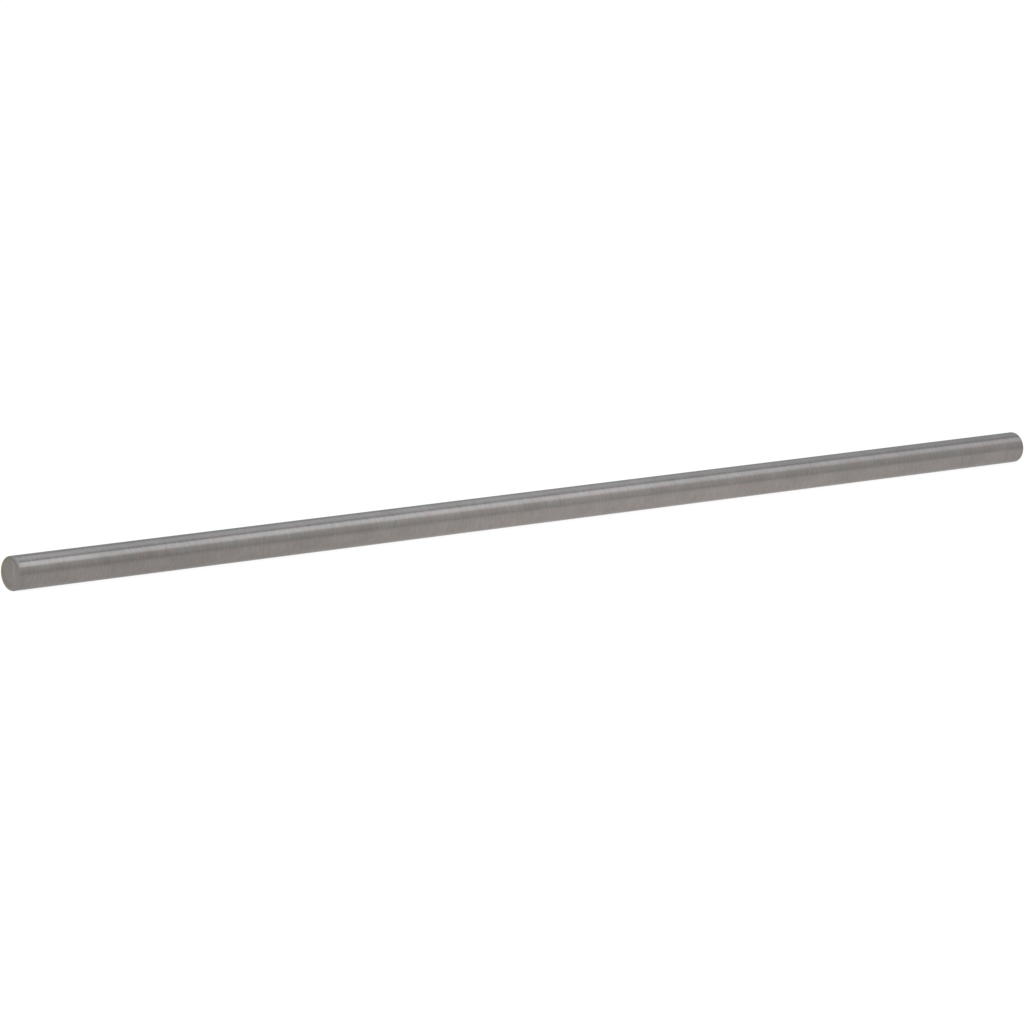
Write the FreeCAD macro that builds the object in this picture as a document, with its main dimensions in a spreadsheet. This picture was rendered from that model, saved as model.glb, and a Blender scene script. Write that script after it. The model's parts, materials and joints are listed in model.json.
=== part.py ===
"""Pin gauge: one plain ground pin that checks the size of a drilled or reamed hole.

The pin is a single piece of hardened steel. Its whole side is the measuring surface, both
ends are ground square, and the edge between each end face and the side is rounded a little,
so that the pin enters a hole without catching. Either end may go in first.

The pin lies along X, with the origin at the middle of its axis. Sizes are in millimetres.
"""
import FreeCAD, Part
import math
import os
import Sketcher
from FreeCAD import Vector

PARTS_FOLDER = "parts"

# alias, value, what it is
SIZES = (
    ("gauge_diameter", "1.27", "nominal size of the pin, 0.050 inch"),
    ("gauge_length", "50.8", "from end face to end face, 2 inch"),
    ("edge_radius", "0.1", "rounding between each end face and the side"),
)

# How a sketch constraint names a point of an edge, and the sketch's own origin.
START, END = 1, 2
SKETCH_AXIS, ORIGIN_POINT = -1, 1

FULL_TURN = 360
QUARTER_TURN = math.pi / 2


def make_sheet(doc):
    """The spreadsheet that holds every driving dimension, one to a row."""
    sheet = doc.addObject("Spreadsheet::Sheet", "Sizes")
    for row, (alias, value, meaning) in enumerate(SIZES, start=1):
        sheet.set(f"A{row}", meaning)
        sheet.set(f"B{row}", value)
        sheet.setAlias(f"B{row}", alias)
    doc.recompute()
    return sheet


def origin_plane(body, role):
    """One of the body's own origin planes, such as XZ_Plane."""
    return next(f for f in body.Origin.OriginFeatures if f.Role == role)


def draw_half_section(body, sheet):
    """The outline that is turned about X: axis, end face, rounded edge, side, and back.

    The edges are first drawn at the sheet's sizes, and then held there by constraints: each
    rounded edge is tangent to its face and to the side, and the ends mirror each other about
    the origin. Length, radius and edge radius follow the sheet's cells.
    """
    half_length = sheet.gauge_length / 2
    radius = sheet.gauge_diameter / 2
    edge = sheet.edge_radius
    rim = radius - edge
    side_reach = half_length - edge

    sketch = body.newObject("Sketcher::SketchObject", "HalfSection")
    sketch.AttachmentSupport = [(origin_plane(body, "XZ_Plane"), "")]
    sketch.MapMode = "FlatFace"

    def line(x_from, y_from, x_to, y_to):
        points = Vector(x_from, y_from, 0), Vector(x_to, y_to, 0)
        return sketch.addGeometry(Part.LineSegment(*points), False)

    def rounded_edge(x_centre, angle_from):
        circle = Part.Circle(Vector(x_centre, rim, 0), Vector(0, 0, 1), edge)
        arc = Part.ArcOfCircle(circle, angle_from, angle_from + QUARTER_TURN)
        return sketch.addGeometry(arc, False)

    def bind(name, kind, where, value, expression):
        index = sketch.addConstraint(Sketcher.Constraint(kind, *where, value))
        sketch.renameConstraint(index, name)
        sketch.setExpression(f"Constraints.{name}", expression)

    axis = line(-half_length, 0, half_length, 0)
    right_face = line(half_length, 0, half_length, rim)
    right_edge = rounded_edge(side_reach, 0)
    side = line(side_reach, radius, -side_reach, radius)
    left_edge = rounded_edge(-side_reach, QUARTER_TURN)
    left_face = line(-half_length, rim, -half_length, 0)

    sketch.addConstraint([
        Sketcher.Constraint("Coincident", axis, END, right_face, START),
        Sketcher.Constraint("Tangent", right_face, END, right_edge, START),
        Sketcher.Constraint("Tangent", right_edge, END, side, START),
        Sketcher.Constraint("Tangent", side, END, left_edge, START),
        Sketcher.Constraint("Tangent", left_edge, END, left_face, START),
        Sketcher.Constraint("Coincident", left_face, END, axis, START),
        Sketcher.Constraint("Vertical", right_face),
        Sketcher.Constraint("Vertical", left_face),
        Sketcher.Constraint("Horizontal", side),
        Sketcher.Constraint("Symmetric", axis, START, axis, END, SKETCH_AXIS, ORIGIN_POINT),
        Sketcher.Constraint("PointOnObject", axis, END, SKETCH_AXIS),
        Sketcher.Constraint("Equal", right_edge, left_edge),
    ])
    bind("length", "DistanceX", (axis, START, axis, END), 2 * half_length,
         "Sizes.gauge_length")
    bind("radius", "DistanceY", (axis, END, side, START), radius,
         "Sizes.gauge_diameter / 2")
    bind("edge_radius", "Radius", (right_edge,), edge,
         "Sizes.edge_radius")
    return sketch


def make_gauge_pin(doc, sheet):
    """The whole gauge: the half section turned right round the X axis."""
    body = doc.addObject("PartDesign::Body", "GaugePin")
    body.Label = "gauge_pin"
    sketch = draw_half_section(body, sheet)
    turned = body.newObject("PartDesign::Revolution", "TurnedPin")
    turned.Profile = sketch
    turned.ReferenceAxis = (sketch, ["H_Axis"])
    turned.Angle = FULL_TURN
    body.Placement = FreeCAD.Placement()
    return body


def check(doc, pieces):
    """Stops the build if an object failed to recompute or a piece isn't one sound solid."""
    for thing in doc.Objects:
        if "Invalid" in thing.State or "Error" in thing.State:
            raise RuntimeError(f"{thing.Label} failed: {thing.State}")
        if thing.isDerivedFrom("Sketcher::SketchObject") and not thing.FullyConstrained:
            raise RuntimeError(f"{thing.Label} is left free to move")
    for piece in pieces:
        shape = piece.Shape
        if shape.isNull() or not shape.isValid() or len(shape.Solids) != 1:
            raise RuntimeError(f"{piece.Label} isn't one valid solid")


def export(pieces):
    """Writes each piece's shape to its own STEP file, named by its label."""
    os.makedirs(PARTS_FOLDER, exist_ok=True)
    for piece in pieces:
        piece.Shape.exportStep(os.path.join(PARTS_FOLDER, f"{piece.Label}.step"))
        box = piece.Shape.optimalBoundingBox(False, False)
        print(f"{piece.Label}: {box.XLength:.3f} x {box.YLength:.3f} x {box.ZLength:.3f} mm, "
              f"{piece.Shape.Volume:.3f} mm3")


def main():
    doc = FreeCAD.newDocument("PinGauge")
    sheet = make_sheet(doc)
    pieces = [make_gauge_pin(doc, sheet)]
    doc.recompute()
    check(doc, pieces)
    export(pieces)


main()
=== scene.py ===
"""A pin gauge: one ground steel pin, lying on a plain white floor under a small studio tent.

The pin lies along X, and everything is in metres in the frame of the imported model. The
packed pin is faceted, so a finely turned mesh of the same form stands for it. Its side, its
two rounded edges and its two end faces each have a steel of their own.
"""
import json
import math

import bpy
from mathutils import Matrix, Vector

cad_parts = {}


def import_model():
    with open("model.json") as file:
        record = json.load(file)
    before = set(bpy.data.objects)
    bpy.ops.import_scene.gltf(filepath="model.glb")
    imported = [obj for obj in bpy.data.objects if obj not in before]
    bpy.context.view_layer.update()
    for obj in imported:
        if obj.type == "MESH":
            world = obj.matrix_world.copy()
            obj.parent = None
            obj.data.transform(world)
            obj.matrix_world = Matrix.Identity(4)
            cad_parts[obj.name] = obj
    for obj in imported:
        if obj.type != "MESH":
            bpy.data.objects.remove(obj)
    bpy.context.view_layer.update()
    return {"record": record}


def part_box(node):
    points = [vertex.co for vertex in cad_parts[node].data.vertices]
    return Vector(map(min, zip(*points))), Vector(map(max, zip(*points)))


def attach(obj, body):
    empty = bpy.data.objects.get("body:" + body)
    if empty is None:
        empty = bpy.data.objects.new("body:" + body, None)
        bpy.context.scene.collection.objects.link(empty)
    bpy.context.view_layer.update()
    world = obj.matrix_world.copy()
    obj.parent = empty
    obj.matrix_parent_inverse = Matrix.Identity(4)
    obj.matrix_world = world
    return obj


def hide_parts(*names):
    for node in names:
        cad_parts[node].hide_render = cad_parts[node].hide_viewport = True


MM = 0.001

# The turned mesh: how finely its parts are divided.
TURN_STEPS = 192
FACE_RINGS = 8
EDGE_STEPS = 12
SIDE_STEPS = 48

# Its map for baking: the side unrolled into strips, one above another, with an end at the right.
MAP_STRIPS = 4
MAP_GAP = 0.15 * MM
MAP_END_SCALE = 2.5

# The steel: reflected colour of the side, of its warmer patches, of the edges and of the ends.
SIDE_STEEL = (0.278, 0.264, 0.250)
WARM_STEEL = (0.302, 0.249, 0.240)
EDGE_STEEL = (0.242, 0.227, 0.213)
END_STEEL = (0.266, 0.250, 0.233)
# The brown tint at the rim of an end, on its +Y side, full from the reach below past the centre.
RIM_BROWN = (0.300, 0.240, 0.165)
BROWN_START, BROWN_FULL = 0.40 * MM, 0.54 * MM
BROWN_REACH = 0.40 * MM
# The steel's tint where it is seen at a glancing angle, duller than a perfect metal's.
GLANCING_TINT = (0.75, 0.75, 0.75)
# Painted shade: how much darker the side is toward its ends than in the middle, standing in for
# less light there: the first is the -X end.
LEFT_END_SHADE, RIGHT_END_SHADE = 0.16, 0.07

# The grains in the steel, along X and across it. Of the side: grinding lines, fine scratches,
# warmer blotches and a slow drift. Of the rounded edges. Of an end: its lay and broad streaks.
LINE_GRAIN = (0.09 * MM, 0.32 * MM, 0.32 * MM)
SCRATCH_GRAIN = (0.03 * MM, 1.0 * MM, 1.0 * MM)
BLOTCH_GRAIN = (0.80 * MM, 0.30 * MM, 0.30 * MM)
DRIFT_GRAIN = (1.3 * MM, 0.8 * MM, 0.8 * MM)
EDGE_GRAIN = (0.05 * MM, 0.12 * MM, 0.12 * MM)
LAY_GRAIN = (1 * MM, 0.035 * MM, 1.5 * MM)
BROAD_GRAIN = (1 * MM, 0.25 * MM, 2.5 * MM)
# How deep the grains of the side and of an end are.
SIDE_RELIEF, END_RELIEF = 0.0022 * MM, 0.002 * MM
# Roughness, from the smoothest grain to the roughest, of the side and of the edges and ends.
SIDE_ROUGHNESS = (0.19, 0.23)
END_ROUGHNESS = (0.42, 0.50)
# An end's darker ring: where it starts, is full, starts to fade and is gone, and how dark.
RING_RADII = (0.28 * MM, 0.40 * MM, 0.47 * MM, 0.53 * MM)
RING_DARKENING = 0.17
# An end's painted highlight, a lighter streak standing in for the reflection on the rounding:
# where it lies, how far from its middle it fades, and how light.
HIGHLIGHT_Y = -0.27 * MM
HIGHLIGHT_FADE = (0.02 * MM, 0.13 * MM)
HIGHLIGHT_LIGHTENING = 0.15

# The camera stands at the left and a little above, and the near end is at the left.
CAMERA_AZIMUTH = math.radians(-39.56)
CAMERA_ELEVATION = math.radians(8.82)
CAMERA_DISTANCE = 182.0 * MM
CAMERA_LENS = 164.0
AIM_LEFT = 1.705 * MM
AIM_DOWN = 0.282 * MM

# The studio.
FLOOR_REACH = 4.0
FLOOR_GLOW = 1.05
# The glow's share of the floor, the rest being paper, as seen, and how much more in the metal.
GLOW_SHARE, GLOW_SHARE_MORE = 0.90, 0.02
# How much less it glows in the metal, at the pin's foot and from FLOOR_DIM_Y out.
FOOT_DIMMING, FLOOR_DIMMING, FLOOR_DIM_Y = 0.02, 0.29, 10 * MM
TENT_RADIUS = 120 * MM
TENT_REACH = 260 * MM
TENT_STEPS = 72
# The tent's inside, by the angle in degrees from the front horizon, over the top, to the back:
# its brightness at TENT_NEAR_X and at TENT_FAR_X, which it has on the -X side too.
TENT_TONES = (
    (0, 0.79, 0.70),
    (12, 0.90, 0.78),
    (39.5, 1.08, 0.85),
    (46.5, 2.10, 1.19),
    (60, 2.20, 1.34),
    (72.5, 2.18, 1.32),
    (77, 0.88, 0.67),
    (85, 0.88, 0.67),
    (91.5, 1.48, 0.88),
    (118, 1.58, 0.90),
    (131, 0.96, 0.66),
    (160, 0.75, 0.50),
    (180, 0.75, 0.60),
)
TENT_NEAR_X = 45 * MM
TENT_FAR_X = 145 * MM
# It changes from near to far, more quickly at first, by this power of the way along.
TENT_CHANGE = 0.6
# It dims from TENT_DIM_X to the middle, where this share of the brightness is left.
TENT_DIM_X, TENT_MIDDLE = 40 * MM, 0.70
# Its bands fan out along the pin: angles past the pivot grow by this share from near to far.
TENT_PIVOT = math.radians(20)
TENT_FAN = 0.20
# It is a little cooler overhead than in front.
TENT_FRONT_TINT, FRONT_ANGLE = (0.976, 1.0, 1.010), math.radians(38)
TENT_TOP_TINT, TOP_ANGLE = (0.943, 1.0, 1.052), math.radians(62)
# The lamp that lights the floor: its place over the pin, as an angle like the tent's.
KEY_ANGLE = math.radians(63)
KEY_HALF_WIDTH = math.radians(15.5)
KEY_DISTANCE = 0.9 * TENT_RADIUS
KEY_LENGTH = 300 * MM
KEY_RADIANCE = 0.85


# ---------------------------------------------------------------- node helpers


def fill(node, inputs):
    """Sets a node's inputs, by name or number: a socket is linked, and a value is written."""
    tree = node.id_data
    for key, value in inputs.items():
        if isinstance(value, bpy.types.NodeSocket):
            tree.links.new(value, node.inputs[key])
        else:
            node.inputs[key].default_value = value
    return node


def add(tree, kind, inputs=None, **settings):
    """Adds a node of a kind to a tree, with its settings and inputs."""
    node = tree.nodes.new(kind)
    for name, value in settings.items():
        setattr(node, name, value)
    return fill(node, inputs or {})


def math_node(tree, operation, *values):
    """The result of a sum on values and sockets."""
    return add(tree, "ShaderNodeMath", dict(enumerate(values)), operation=operation).outputs[0]


def stretched_noise(tree, point, size, detail=2.0, roughness=0.5):
    """Noise whose grains have the given size along each axis, in metres."""
    scale = Vector(1 / s for s in size)
    mapped = add(tree, "ShaderNodeVectorMath", {0: point, 1: scale}, operation="MULTIPLY")
    noise = add(tree, "ShaderNodeTexNoise",
                {"Vector": mapped.outputs[0], "Scale": 1.0, "Detail": detail,
                 "Roughness": roughness})
    return noise.outputs["Fac"]


def spread(tree, value, low, high, steepness=1.0):
    """Noise, which keeps near a half, spread out over low to high."""
    half_span = 0.22 / steepness
    mapped = add(tree, "ShaderNodeMapRange",
                 {"Value": value, "From Min": 0.5 - half_span, "From Max": 0.5 + half_span,
                  "To Min": low, "To Max": high})
    return mapped.outputs["Result"]


def eased(tree, value, start, end, low, high):
    """A value mapped from start..end to low..high, with a soft start and a soft end."""
    node = add(tree, "ShaderNodeMapRange",
               {"Value": value, "From Min": start, "From Max": end, "To Min": low,
                "To Max": high}, interpolation_type="SMOOTHSTEP")
    return node.outputs["Result"]


def mix_colour(tree, factor, first, second):
    """A blend of two colours, given as red, green and blue, or as a socket."""
    def rgba(colour):
        return colour if isinstance(colour, bpy.types.NodeSocket) else (*colour, 1)
    node = add(tree, "ShaderNodeMix", data_type="RGBA")
    fill(node, {0: factor, 6: rgba(first), 7: rgba(second)})
    return node.outputs[2]


def toned(tree, colour, tone):
    """A colour made lighter or darker by a tone about 1."""
    node = add(tree, "ShaderNodeVectorMath", {0: colour}, operation="SCALE")
    return fill(node, {"Scale": tone}).outputs[0]


def relief(tree, height, depth):
    """The normal of a surface that stands up by a height from 0 to 1, times a depth."""
    return add(tree, "ShaderNodeBump",
               {"Height": height, "Strength": 1.0, "Distance": depth}).outputs[0]


def new_material(name):
    """A material with only a Principled shader, and its tree, shader and object point."""
    material = bpy.data.materials.new(name)
    material.use_nodes = True
    tree = material.node_tree
    shader = tree.nodes["Principled BSDF"]
    point = add(tree, "ShaderNodeTexCoord").outputs["Object"]
    return material, tree, shader, point


# ---------------------------------------------------------------- materials


def painted_end_shade(tree, point, half_length):
    """Painted shade: a tone that is full at the pin's middle and falls toward both ends, as if
    less light reached them.
    """
    along = add(tree, "ShaderNodeSeparateXYZ", {0: point}).outputs["X"]
    left = eased(tree, along, -0.75 * half_length, -0.05 * half_length, 1 - LEFT_END_SHADE, 1.0)
    right = eased(tree, along, 0.05 * half_length, 0.95 * half_length, 1.0, 1 - RIGHT_END_SHADE)
    return math_node(tree, "MULTIPLY", left, right)


def ground_side(half_length):
    """The measuring surface: satin ground steel, with grinding lines round the pin."""
    material, tree, shader, point = new_material("ground_side")
    lines = stretched_noise(tree, point, LINE_GRAIN, 2, 0.6)
    scratches = stretched_noise(tree, point, SCRATCH_GRAIN)
    blotches = stretched_noise(tree, point, BLOTCH_GRAIN, 2, 0.6)
    drift = stretched_noise(tree, point, DRIFT_GRAIN, 1)

    warmth = spread(tree, blotches, 0.0, 0.6, 1.2)
    colour = mix_colour(tree, warmth, SIDE_STEEL, WARM_STEEL)
    tone = math_node(tree, "MULTIPLY", spread(tree, lines, 0.91, 1.09),
                     spread(tree, drift, 0.94, 1.06))
    # Painted shade: the side's colour is darkened toward its ends.
    tone = math_node(tree, "MULTIPLY", tone, painted_end_shade(tree, point, half_length))
    roughness = math_node(tree, "ADD", spread(tree, lines, *SIDE_ROUGHNESS),
                          spread(tree, blotches, -0.01, 0.01))
    height = math_node(tree, "ADD", lines, math_node(tree, "MULTIPLY", scratches, 0.25))
    fill(shader, {"Base Color": toned(tree, colour, tone), "Metallic": 1.0,
                  "Specular Tint": (*GLANCING_TINT, 1), "Roughness": roughness,
                  "Normal": relief(tree, height, SIDE_RELIEF)})
    return material


def from_axis(tree, point):
    """How far a point is from the pin's axis."""
    across = add(tree, "ShaderNodeVectorMath", {0: point, 1: (0, 1, 1)}, operation="MULTIPLY")
    return add(tree, "ShaderNodeVectorMath", {0: across.outputs[0]},
               operation="LENGTH").outputs["Value"]


def toward(tree, point, direction, start, end):
    """0 to 1 on the side of an end that lies in a direction, from start to end past its centre."""
    reach = add(tree, "ShaderNodeVectorMath", {0: point, 1: direction}, operation="DOT_PRODUCT")
    return eased(tree, reach.outputs["Value"], start, end, 0.0, 1.0)


def rim_browned(tree, point, colour):
    """A colour made browner toward an end's rim, on the +Y side."""
    at_rim = eased(tree, from_axis(tree, point), BROWN_START, BROWN_FULL, 0.0, 1.0)
    on_side = toward(tree, point, (0, 1, 0), -BROWN_REACH / 4, BROWN_REACH)
    return mix_colour(tree, math_node(tree, "MULTIPLY", at_rim, on_side), colour, RIM_BROWN)


def rounded_edge():
    """The rounding between side and end, about as matte as the end."""
    material, tree, shader, point = new_material("rounded_edge")
    grain = stretched_noise(tree, point, EDGE_GRAIN)
    colour = mix_colour(tree, spread(tree, grain, 0.0, 0.3), EDGE_STEEL, SIDE_STEEL)
    fill(shader, {"Base Color": rim_browned(tree, point, colour), "Metallic": 1.0,
                  "Roughness": spread(tree, grain, *END_ROUGHNESS)})
    return material


def dark_ring(tree, point):
    """How much an end is darkened in a ring inside its rim, at the lower +Y side."""
    start, full, fade, gone = RING_RADII
    outward = from_axis(tree, point)
    ring = math_node(tree, "MULTIPLY", eased(tree, outward, start, full, 0.0, RING_DARKENING),
                     eased(tree, outward, fade, gone, 1.0, 0.0))
    low_side = toward(tree, point, (0, 0.7, -0.7), 0.05 * MM, 0.35 * MM)
    return math_node(tree, "MULTIPLY", ring, low_side)


def painted_highlight_streak(tree, point):
    """How much an end is lightened by a painted highlight, a streak up its -Y side."""
    across = add(tree, "ShaderNodeSeparateXYZ", {0: point}).outputs["Y"]
    off_highlight = math_node(tree, "ABSOLUTE", math_node(tree, "SUBTRACT", across, HIGHLIGHT_Y))
    highlight = eased(tree, off_highlight, *HIGHLIGHT_FADE, HIGHLIGHT_LIGHTENING, 0.0)
    upward = toward(tree, point, (0, 0, 1), -0.30 * MM, 0.10 * MM)
    return math_node(tree, "MULTIPLY", highlight, upward)


def ground_end():
    """An end face: ground flat with straight lines across it, and more matte than the side."""
    material, tree, shader, point = new_material("ground_end")
    lay = stretched_noise(tree, point, LAY_GRAIN)
    broad = stretched_noise(tree, point, BROAD_GRAIN, 1)
    tone = math_node(tree, "MULTIPLY", spread(tree, lay, 0.97, 1.03),
                     spread(tree, broad, 0.97, 1.03))
    # A painted highlight lightens a streak up the end's -Y side.
    tone = math_node(tree, "ADD", tone, painted_highlight_streak(tree, point))
    tone = math_node(tree, "SUBTRACT", tone, dark_ring(tree, point))
    colour = mix_colour(tree, spread(tree, broad, 0.2, 0.0), END_STEEL, WARM_STEEL)
    colour = rim_browned(tree, point, toned(tree, colour, tone))
    fill(shader, {"Base Color": colour, "Metallic": 1.0,
                  "Roughness": spread(tree, lay, *END_ROUGHNESS),
                  "Normal": relief(tree, lay, END_RELIEF)})
    return material


# ---------------------------------------------------------------- the pin


def half_section(length, radius, edge):
    """The pin's outline from one end's centre to the other's.

    Each entry is (x, distance from the axis, the surface's normal as (along x, outward), the
    part it ends): parts are 0 for the side, 1 for a rounded edge and 2 for an end face.
    """
    rim = radius - edge
    face_x = -length / 2
    left = []
    for ring in range(FACE_RINGS + 1):
        left.append((face_x, rim * ring / FACE_RINGS, (-1.0, 0.0), 2))
    for step in range(1, EDGE_STEPS + 1):
        turn = math.pi / 2 * step / EDGE_STEPS
        normal = (-math.cos(turn), math.sin(turn))
        left.append((face_x + edge + edge * normal[0], rim + edge * normal[1], normal, 1))
    side_x = face_x + edge
    side = []
    for step in range(1, SIDE_STEPS):
        side.append((side_x - 2 * side_x * step / SIDE_STEPS, radius, (0.0, 1.0), 0))
    right = [(-x, r, (-along, out), part) for x, r, (along, out), part in reversed(left)]
    # On the right the parts come in the other order, so each entry takes its left neighbour's.
    parts = [0] + [entry[3] for entry in right[:-1]]
    right = [(x, r, n, part) for (x, r, n, _), part in zip(right, parts)]
    return left + side + right


def strip_map(length, radius, edge):
    """Two functions that give the baking map's place for a point of the side, and of an end."""
    rim = radius - edge
    side_length = length - 2 * edge
    strip_length = side_length / MAP_STRIPS
    strip_height = 2 * math.pi * radius
    end_radius = (rim + edge * math.pi / 2) * MAP_END_SCALE
    sheet = MAP_STRIPS * (strip_height + MAP_GAP) + MAP_GAP

    def side_place(strip, x, turn):
        along = x + side_length / 2 - strip * strip_length
        up = MAP_GAP + strip * (strip_height + MAP_GAP) + turn * strip_height
        return (MAP_GAP + along) / sheet, up / sheet

    def end_place(sign, reach, turn):
        centre_u = 2 * MAP_GAP + strip_length + end_radius
        centre_v = sheet / 2 + sign * (end_radius + MAP_GAP)
        angle = 2 * math.pi * turn
        return ((centre_u + reach * MAP_END_SCALE * math.cos(angle)) / sheet,
                (centre_v + reach * MAP_END_SCALE * math.sin(angle)) / sheet)

    return side_place, end_place


def turned_pin(name, length, radius, edge, materials):
    """The pin as one closed mesh, turned about X, with true normals and a map for baking."""
    outline = half_section(length, radius, edge)
    side_place, end_place = strip_map(length, radius, edge)
    rim = radius - edge

    points, normals = [], []
    rings = []
    for x, r, (along, out), _ in outline:
        count = TURN_STEPS if r > 0 else 1
        rings.append(range(len(points), len(points) + count))
        for step in range(count):
            turn = 2 * math.pi * step / TURN_STEPS
            y, z = math.cos(turn), math.sin(turn)
            points.append((x, r * y, r * z))
            normals.append((along, out * y, out * z))

    def reach_of(entry):
        """How far from an end's centre a point lies, along the surface."""
        x, r, (along, out), _ = entry
        return min(r, rim) + edge * math.atan2(out, abs(along))

    faces, parts, places = [], [], []
    for number in range(1, len(outline)):
        before, after = outline[number - 1], outline[number]
        part = after[3]
        sign = 1 if (before[0] + after[0]) > 0 else -1
        strip = min(MAP_STRIPS * (number - 1 - FACE_RINGS - EDGE_STEPS) // SIDE_STEPS,
                    MAP_STRIPS - 1)
        for step in range(TURN_STEPS):
            corners = []
            for entry, ring, turn in ((before, rings[number - 1], step),
                                      (after, rings[number], step),
                                      (after, rings[number], step + 1),
                                      (before, rings[number - 1], step + 1)):
                if len(ring) == 1 and turn != step:
                    continue
                if part == 0:
                    place = side_place(strip, entry[0], turn / TURN_STEPS)
                else:
                    place = end_place(sign, reach_of(entry), turn / TURN_STEPS)
                corners.append((ring[turn % len(ring)], place))
            corners.reverse()
            faces.append([corner for corner, _ in corners])
            places.extend(place for _, place in corners)
            parts.append(part)

    mesh = bpy.data.meshes.new(name)
    mesh.from_pydata(points, [], faces)
    for material in materials:
        mesh.materials.append(material)
    mesh.polygons.foreach_set("material_index", parts)
    mesh.polygons.foreach_set("use_smooth", [True] * len(faces))
    baking_map = mesh.uv_layers.new(name="OFBake")
    baking_map.data.foreach_set("uv", [number for place in places for number in place])
    mesh.normals_split_custom_set_from_vertices(normals)
    pin = bpy.data.objects.new(name, mesh)
    bpy.context.scene.collection.objects.link(pin)
    return pin


# ---------------------------------------------------------------- the studio


def white_where_seen(tree, lit, white):
    """The lit shader, but plain white to the camera, and to metal and glass that show it."""
    path = add(tree, "ShaderNodeLightPath")
    seen = math_node(tree, "MAXIMUM", path.outputs["Is Camera Ray"],
                     path.outputs["Is Glossy Ray"])
    seen = math_node(tree, "MAXIMUM", seen, path.outputs["Is Transmission Ray"])
    return add(tree, "ShaderNodeMixShader", {0: seen, 1: lit, 2: white}).outputs[0]


def white_world():
    """Even white light from all round."""
    world = bpy.data.worlds.new("studio_world")
    world.use_nodes = True
    world.node_tree.nodes["Background"].inputs["Color"].default_value = (1, 1, 1, 1)
    world.node_tree.nodes["Background"].inputs["Strength"].default_value = 1.0
    bpy.context.scene.world = world


def floor_material():
    """White, and partly shining by itself, so that the pin's shadow on it stays faint.

    In the pin's metal it is a little greyer away from the pin.
    """
    material = bpy.data.materials.new("studio_floor")
    material.use_nodes = True
    tree = material.node_tree
    tree.nodes.clear()
    paper = add(tree, "ShaderNodeBsdfDiffuse", {"Color": (0.8, 0.8, 0.8, 1)}).outputs[0]
    point = add(tree, "ShaderNodeTexCoord").outputs["Object"]
    across = add(tree, "ShaderNodeSeparateXYZ", {0: point}).outputs["Y"]
    dimming = eased(tree, math_node(tree, "ABSOLUTE", across), 0.0, FLOOR_DIM_Y,
                    FOOT_DIMMING, FLOOR_DIMMING)
    in_metal = add(tree, "ShaderNodeLightPath").outputs["Is Glossy Ray"]
    dimmed = math_node(tree, "MULTIPLY", in_metal, dimming)
    strength = math_node(tree, "SUBTRACT", FLOOR_GLOW, dimmed)
    glow = add(tree, "ShaderNodeEmission", {"Strength": strength}).outputs[0]
    share = math_node(tree, "MULTIPLY_ADD", in_metal, GLOW_SHARE_MORE, GLOW_SHARE)
    soft = add(tree, "ShaderNodeMixShader", {0: share, 1: paper, 2: glow}).outputs[0]
    add(tree, "ShaderNodeOutputMaterial", {"Surface": white_where_seen(tree, paper, soft)})
    return material


def white_floor(height):
    """A wide square sheet at a height, under the pin."""
    mesh = bpy.data.meshes.new("studio_floor")
    reach = FLOOR_REACH
    corners = [(-reach, -reach, height), (reach, -reach, height),
               (reach, reach, height), (-reach, reach, height)]
    mesh.from_pydata(corners, [], [(0, 1, 2, 3)])
    mesh.materials.append(floor_material())
    floor = bpy.data.objects.new("studio_floor", mesh)
    bpy.context.scene.collection.objects.link(floor)


def tone_ramp(tree, place, tones):
    """A grey read at a place from 0 to 1, from tones given at angles up to 180 degrees."""
    ramp = add(tree, "ShaderNodeValToRGB", {0: place})
    elements = ramp.color_ramp.elements
    while len(elements) > 1:
        elements.remove(elements[-1])
    for number, (degrees, tone) in enumerate(tones):
        element = elements[0] if number == 0 else elements.new(degrees / 180)
        element.position = degrees / 180
        element.color = (tone, tone, tone, 1)
    return ramp.outputs[0]


def tent_material():
    """The tent's inside glows, more or less by the angle from the front horizon over the top."""
    material = bpy.data.materials.new("studio_tent")
    material.use_nodes = True
    tree = material.node_tree
    tree.nodes.clear()
    point = add(tree, "ShaderNodeTexCoord").outputs["Object"]
    parts = add(tree, "ShaderNodeSeparateXYZ", {0: point})
    toward_front = math_node(tree, "MULTIPLY", parts.outputs["Y"], -1.0)
    angle = math_node(tree, "ARCTAN2", parts.outputs["Z"], toward_front)
    from_middle = math_node(tree, "ABSOLUTE", parts.outputs["X"])
    along = add(tree, "ShaderNodeMapRange",
                {"Value": from_middle, "From Min": TENT_NEAR_X,
                 "From Max": TENT_FAR_X}).outputs["Result"]
    far_share = math_node(tree, "POWER", along, TENT_CHANGE)
    fan = math_node(tree, "MULTIPLY_ADD", far_share, TENT_FAN, 1.0)
    past_pivot = math_node(tree, "DIVIDE", math_node(tree, "SUBTRACT", angle, TENT_PIVOT), fan)
    place = math_node(tree, "DIVIDE", math_node(tree, "ADD", past_pivot, TENT_PIVOT), math.pi)
    near = tone_ramp(tree, place, [(angle, tone) for angle, tone, _ in TENT_TONES])
    far = tone_ramp(tree, place, [(angle, tone) for angle, _, tone in TENT_TONES])
    tone = mix_colour(tree, far_share, near, far)
    tone = toned(tree, tone, eased(tree, from_middle, 0.0, TENT_DIM_X, TENT_MIDDLE, 1.0))
    overhead = eased(tree, angle, FRONT_ANGLE, TOP_ANGLE, 0.0, 1.0)
    tint = mix_colour(tree, overhead, TENT_FRONT_TINT, TENT_TOP_TINT)
    tinted = add(tree, "ShaderNodeVectorMath", {0: tone, 1: tint}, operation="MULTIPLY")
    glow = add(tree, "ShaderNodeEmission", {"Color": tinted.outputs[0]})
    add(tree, "ShaderNodeOutputMaterial", {"Surface": glow.outputs[0]})
    return material


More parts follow.
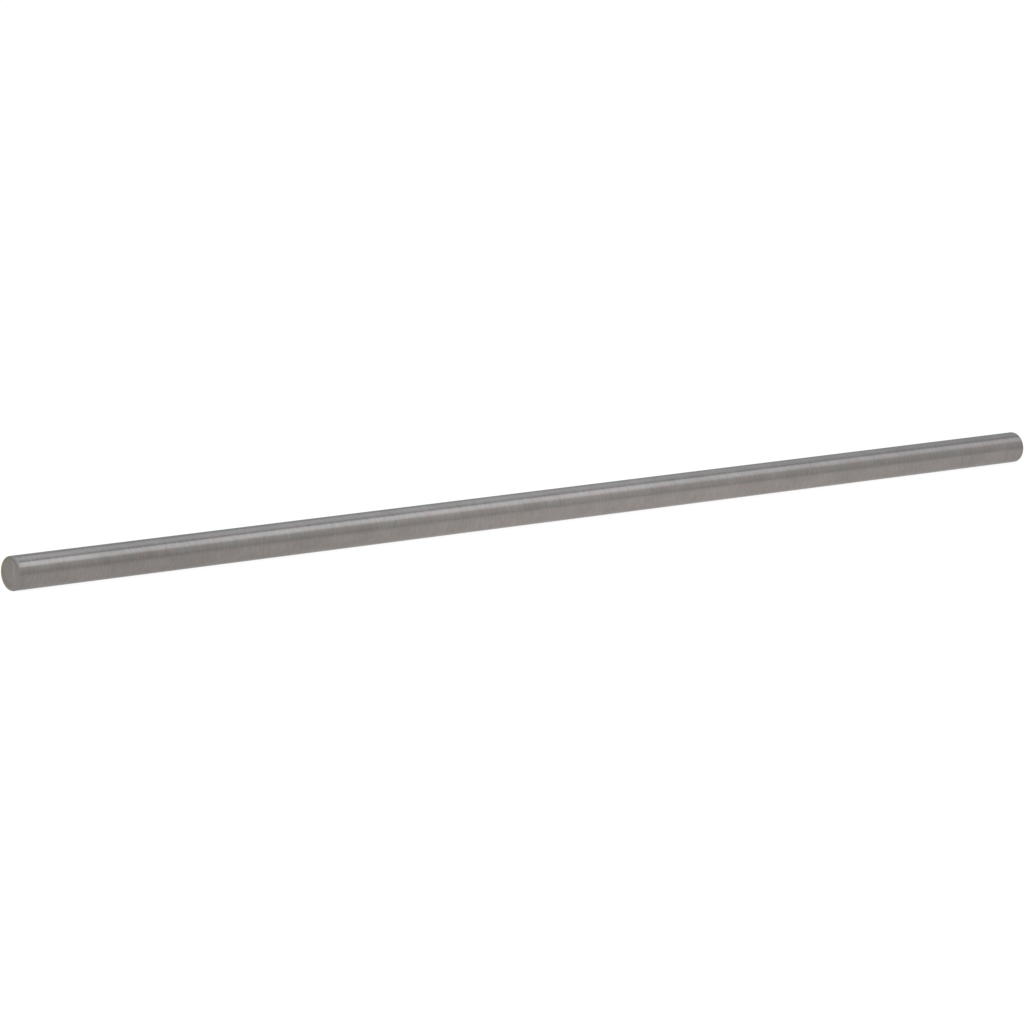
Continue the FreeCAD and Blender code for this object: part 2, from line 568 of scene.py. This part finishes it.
def tent():
    """A half tunnel over the pin, which only the pin's metal sees."""
    points = []
    for step in range(TENT_STEPS + 1):
        angle = math.pi * step / TENT_STEPS
        y, z = -TENT_RADIUS * math.cos(angle), TENT_RADIUS * math.sin(angle)
        points += [(-TENT_REACH, y, z), (TENT_REACH, y, z)]
    faces = [(2 * s, 2 * s + 1, 2 * s + 3, 2 * s + 2) for s in range(TENT_STEPS)]
    mesh = bpy.data.meshes.new("studio_tent")
    mesh.from_pydata(points, [], faces)
    mesh.materials.append(tent_material())
    sheet = bpy.data.objects.new("studio_tent", mesh)
    sheet.visible_camera = False
    sheet.visible_diffuse = False
    sheet.visible_shadow = False
    bpy.context.scene.collection.objects.link(sheet)


def key_lamp():
    """A long soft box under the tent's top, a little to the front, along the pin."""
    width = 2 * KEY_DISTANCE * math.tan(KEY_HALF_WIDTH)
    lamp = bpy.data.lights.new("key_lamp", "AREA")
    lamp.shape = "RECTANGLE"
    lamp.size = KEY_LENGTH
    lamp.size_y = width
    lamp.energy = KEY_RADIANCE * math.pi * KEY_LENGTH * width
    holder = bpy.data.objects.new("key_lamp", lamp)
    outward = Vector((0, -math.cos(KEY_ANGLE), math.sin(KEY_ANGLE)))
    along = Vector((1, 0, 0))
    across = outward.cross(along)
    turn = Matrix((along, across, outward)).transposed()
    holder.matrix_world = Matrix.Translation(outward * KEY_DISTANCE) @ turn.to_4x4()
    holder.visible_camera = False
    holder.visible_glossy = False
    bpy.context.scene.collection.objects.link(holder)


def camera(target):
    """The camera at the photograph's viewing angle, with the pin from edge to edge of the view."""
    back = Vector((math.sin(CAMERA_AZIMUTH) * math.cos(CAMERA_ELEVATION),
                   -math.cos(CAMERA_AZIMUTH) * math.cos(CAMERA_ELEVATION),
                   math.sin(CAMERA_ELEVATION)))
    right = Vector((0, 0, 1)).cross(back).normalized()
    up = back.cross(right)
    data = bpy.data.cameras.new("camera")
    data.lens = CAMERA_LENS
    data.clip_start = 0.05 * CAMERA_DISTANCE
    data.clip_end = 4 * FLOOR_REACH
    holder = bpy.data.objects.new("camera", data)
    aim = target - right * AIM_LEFT - up * AIM_DOWN
    turn = Matrix((right, up, back)).transposed()
    holder.matrix_world = Matrix.Translation(aim + back * CAMERA_DISTANCE) @ turn.to_4x4()
    bpy.context.scene.collection.objects.link(holder)
    bpy.context.scene.camera = holder


# ---------------------------------------------------------------- the scene


def main():
    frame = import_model()
    mounts = {mount["name"]: mount for mount in frame["record"]["mounts"]}
    cylinder = mounts["gauging_cylinder"]["dims"]
    low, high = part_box("gauge_pin")
    length = high.x - low.x
    radius = cylinder["r_mm"] * MM
    edge = (length - cylinder["length_mm"] * MM) / 2

    pin = turned_pin("turned_pin", length, radius, edge,
                     (ground_side(length / 2), rounded_edge(), ground_end()))
    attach(pin, "root")
    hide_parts("gauge_pin")

    bpy.context.scene.view_settings.view_transform = "Standard"
    white_world()
    white_floor(-radius)
    tent()
    key_lamp()
    camera((low + high) / 2)


main()
